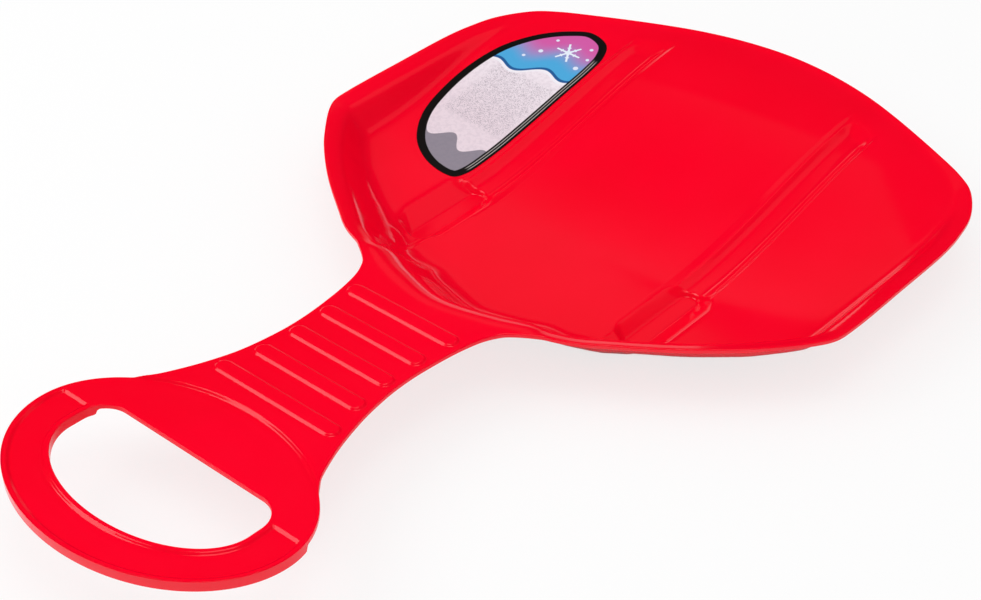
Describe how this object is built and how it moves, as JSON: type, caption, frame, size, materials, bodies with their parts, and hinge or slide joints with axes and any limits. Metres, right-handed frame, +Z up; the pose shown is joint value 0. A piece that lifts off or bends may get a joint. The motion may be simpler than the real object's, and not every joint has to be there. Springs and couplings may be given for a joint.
{
  "type": "snow slider sled",
  "caption": "Moulded plastic snow slider: a shallow dished seat with runner channels, a ribbed neck and a hand grip with a wide hand hole.",
  "frame": {"origin": "middle of the footprint, on the ground under the flat shoes at the front of the runners", "axes": "+Z up, +X across the sled, +Y along it from the hand grip to the back of the seat"},
  "size_m": [0.3476, 0.56, 0.0409],
  "materials": {
    "shell_plastic": "semi-gloss",
    "sticker_print": "satin"
  },
  "bodies": {
    "root": {"sled_shell": "shell_plastic", "label_sticker": "sticker_print"}
  },
  "joints": []
}
